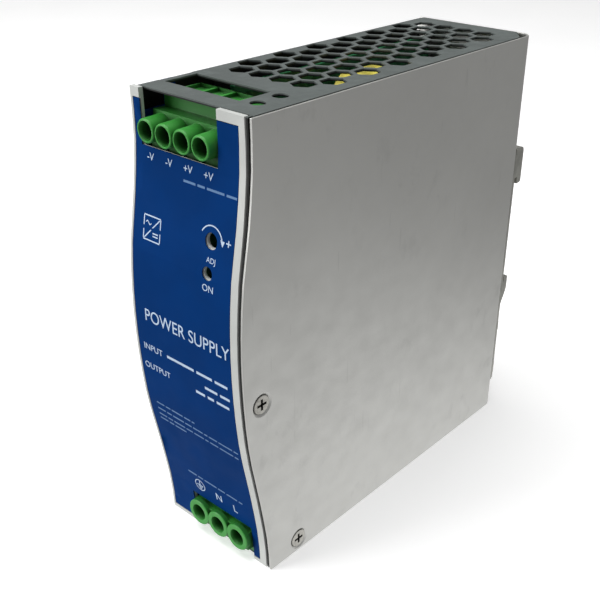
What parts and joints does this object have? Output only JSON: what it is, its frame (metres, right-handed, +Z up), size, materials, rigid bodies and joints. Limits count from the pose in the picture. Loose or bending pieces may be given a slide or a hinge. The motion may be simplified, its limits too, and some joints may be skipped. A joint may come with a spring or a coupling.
{
  "type": "din rail power supply",
  "caption": "Slim boxed power supply for a 35 mm rail: vented case, curved front with adjuster and lamp, screw terminals top and bottom, sprung rail latch behind.",
  "frame": {"origin": "middle of the overall box, at the case's bottom face", "axes": "+X to the right seen from the front, +Y from the front to the rail at the rear, +Z up"},
  "size_m": [0.04, 0.1235, 0.1252],
  "materials": {
    "case_grey": "satin",
    "bright_sheet": "plain rolled sheet with faint scuffs",
    "panel_white": "satin",
    "label_blue": "satin film",
    "terminal_green": "satin moulded",
    "zinc": "zinc plated",
    "clip_cast": "cast, satin",
    "spring_steel": "drawn wire",
    "tinned_copper": "tinned",
    "board_green": "solder mask",
    "film_black": "thin film",
    "control_white": "satin",
    "control_blue": "satin",
    "lamp_green": "clear tinted",
    "sleeve_black": "shrink sleeve",
    "ferrite": "sintered",
    "tape_yellow": "polyester tape",
    "box_yellow": "moulded box",
    "enamel_copper": "enamelled wire",
    "ceramic": "glazed",
    "disc_green": "dipped",
    "heatsink": "bare",
    "package_black": "moulded epoxy"
  },
  "bodies": {
    "case": {"chassis_shell": "case_grey", "side_cover": "bright_sheet", "front_panel": "panel_white", "front_label": "label_blue", "panel_snap_tab": "label_blue", "cover_screw_1": "zinc", "cover_screw_2": "zinc", "clip_screw_1": "zinc", "clip_screw_2": "zinc", "din_clip_base": "clip_cast", "latch_spring": "spring_steel", "output_terminal_housing": "terminal_green", "input_terminal_housing": "terminal_green", "output_terminal_board": "board_green", "input_terminal_board": "board_green", "main_board": "board_green", "control_board": "board_green", "insulation_sheet": "film_black", "trimmer_body": "control_blue", "status_led": "lamp_green", "bulk_capacitor": "sleeve_black", "output_capacitor_1": "sleeve_black", "output_capacitor_2": "sleeve_black", "transformer_core": "ferrite", "transformer_winding": "tape_yellow", "film_capacitor": "box_yellow", "x_capacitor": "box_yellow", "emi_choke": "enamel_copper", "output_inductor": "enamel_copper", "fuse": "ceramic", "thermistor": "disc_green", "primary_heatsink": "heatsink", "secondary_heatsink": "heatsink", "mosfet": "package_black", "output_rectifier": "package_black", "bridge_rectifier": "package_black", "output_contact_1": "tinned_copper", "output_contact_2": "tinned_copper", "output_contact_3": "tinned_copper", "output_contact_4": "tinned_copper", "input_contact_1": "tinned_copper", "input_contact_2": "tinned_copper", "input_contact_3": "tinned_copper"},
    "latch": {"din_latch": "clip_cast"},
    "trimmer": {"trimmer_rotor": "control_white"},
    "output_screw_1": {"output_clamp_screw_1": "zinc"},
    "output_cage_1": {"output_clamp_cage_1": "zinc"},
    "output_screw_2": {"output_clamp_screw_2": "zinc"},
    "output_cage_2": {"output_clamp_cage_2": "zinc"},
    "output_screw_3": {"output_clamp_screw_3": "zinc"},
    "output_cage_3": {"output_clamp_cage_3": "zinc"},
    "output_screw_4": {"output_clamp_screw_4": "zinc"},
    "output_cage_4": {"output_clamp_cage_4": "zinc"},
    "input_screw_1": {"input_clamp_screw_1": "zinc"},
    "input_cage_1": {"input_clamp_cage_1": "zinc"},
    "input_screw_2": {"input_clamp_screw_2": "zinc"},
    "input_cage_2": {"input_clamp_cage_2": "zinc"},
    "input_screw_3": {"input_clamp_screw_3": "zinc"},
    "input_cage_3": {"input_clamp_cage_3": "zinc"}
  },
  "joints": [
    {"name": "latch_slide", "type": "slide", "parent": "case", "child": "latch", "axis": [0, 0, -1], "range_m": [0, 0.005], "stiffness_N_per_m": 600, "springref_m": -0.004, "deforming": ["latch_spring"]},
    {"name": "trimmer_turn", "type": "hinge", "parent": "case", "child": "trimmer", "pos_m": [0.0083, -0.05675, 0.0951], "axis": [0, 1, 0], "range_deg": [-135, 135]},
    {"name": "output_screw_1_turn", "type": "hinge", "parent": "case", "child": "output_screw_1", "pos_m": [-0.013, -0.04525, 0.1161], "axis": [0, 0, -1], "range_deg": [0, 1260]},
    {"name": "output_cage_1_rise", "type": "slide", "parent": "case", "child": "output_cage_1", "axis": [0, 0, 1], "range_m": [0, 0.00175]},
    {"name": "output_screw_2_turn", "type": "hinge", "parent": "case", "child": "output_screw_2", "pos_m": [-0.0068, -0.04525, 0.1161], "axis": [0, 0, -1], "range_deg": [0, 1260]},
    {"name": "output_cage_2_rise", "type": "slide", "parent": "case", "child": "output_cage_2", "axis": [0, 0, 1], "range_m": [0, 0.00175]},
    {"name": "output_screw_3_turn", "type": "hinge", "parent": "case", "child": "output_screw_3", "pos_m": [-0.0006, -0.04525, 0.1161], "axis": [0, 0, -1], "range_deg": [0, 1260]},
    {"name": "output_cage_3_rise", "type": "slide", "parent": "case", "child": "output_cage_3", "axis": [0, 0, 1], "range_m": [0, 0.00175]},
    {"name": "output_screw_4_turn", "type": "hinge", "parent": "case", "child": "output_screw_4", "pos_m": [0.0056, -0.04525, 0.1161], "axis": [0, 0, -1], "range_deg": [0, 1260]},
    {"name": "output_cage_4_rise", "type": "slide", "parent": "case", "child": "output_cage_4", "axis": [0, 0, 1], "range_m": [0, 0.00175]},
    {"name": "input_screw_1_turn", "type": "hinge", "parent": "case", "child": "input_screw_1", "pos_m": [-0.00577, -0.04525, 0.00685], "axis": [0, 0, 1], "range_deg": [0, 1260]},
    {"name": "input_cage_1_rise", "type": "slide", "parent": "case", "child": "input_cage_1", "axis": [0, 0, -1], "range_m": [0, 0.00175]},
    {"name": "input_screw_2_turn", "type": "hinge", "parent": "case", "child": "input_screw_2", "pos_m": [0.00185, -0.04525, 0.00685], "axis": [0, 0, 1], "range_deg": [0, 1260]},
    {"name": "input_cage_2_rise", "type": "slide", "parent": "case", "child": "input_cage_2", "axis": [0, 0, -1], "range_m": [0, 0.00175]},
    {"name": "input_screw_3_turn", "type": "hinge", "parent": "case", "child": "input_screw_3", "pos_m": [0.00947, -0.04525, 0.00685], "axis": [0, 0, 1], "range_deg": [0, 1260]},
    {"name": "input_cage_3_rise", "type": "slide", "parent": "case", "child": "input_cage_3", "axis": [0, 0, -1], "range_m": [0, 0.00175]}
  ],
  "couplings": [
    {"joint": "output_screw_1_turn", "follows": "output_cage_1_rise", "rad_per_m": 12566},
    {"joint": "output_screw_2_turn", "follows": "output_cage_2_rise", "rad_per_m": 12566},
    {"joint": "output_screw_3_turn", "follows": "output_cage_3_rise", "rad_per_m": 12566},
    {"joint": "output_screw_4_turn", "follows": "output_cage_4_rise", "rad_per_m": 12566},
    {"joint": "input_screw_1_turn", "follows": "input_cage_1_rise", "rad_per_m": 12566},
    {"joint": "input_screw_2_turn", "follows": "input_cage_2_rise", "rad_per_m": 12566},
    {"joint": "input_screw_3_turn", "follows": "input_cage_3_rise", "rad_per_m": 12566}
  ]
}
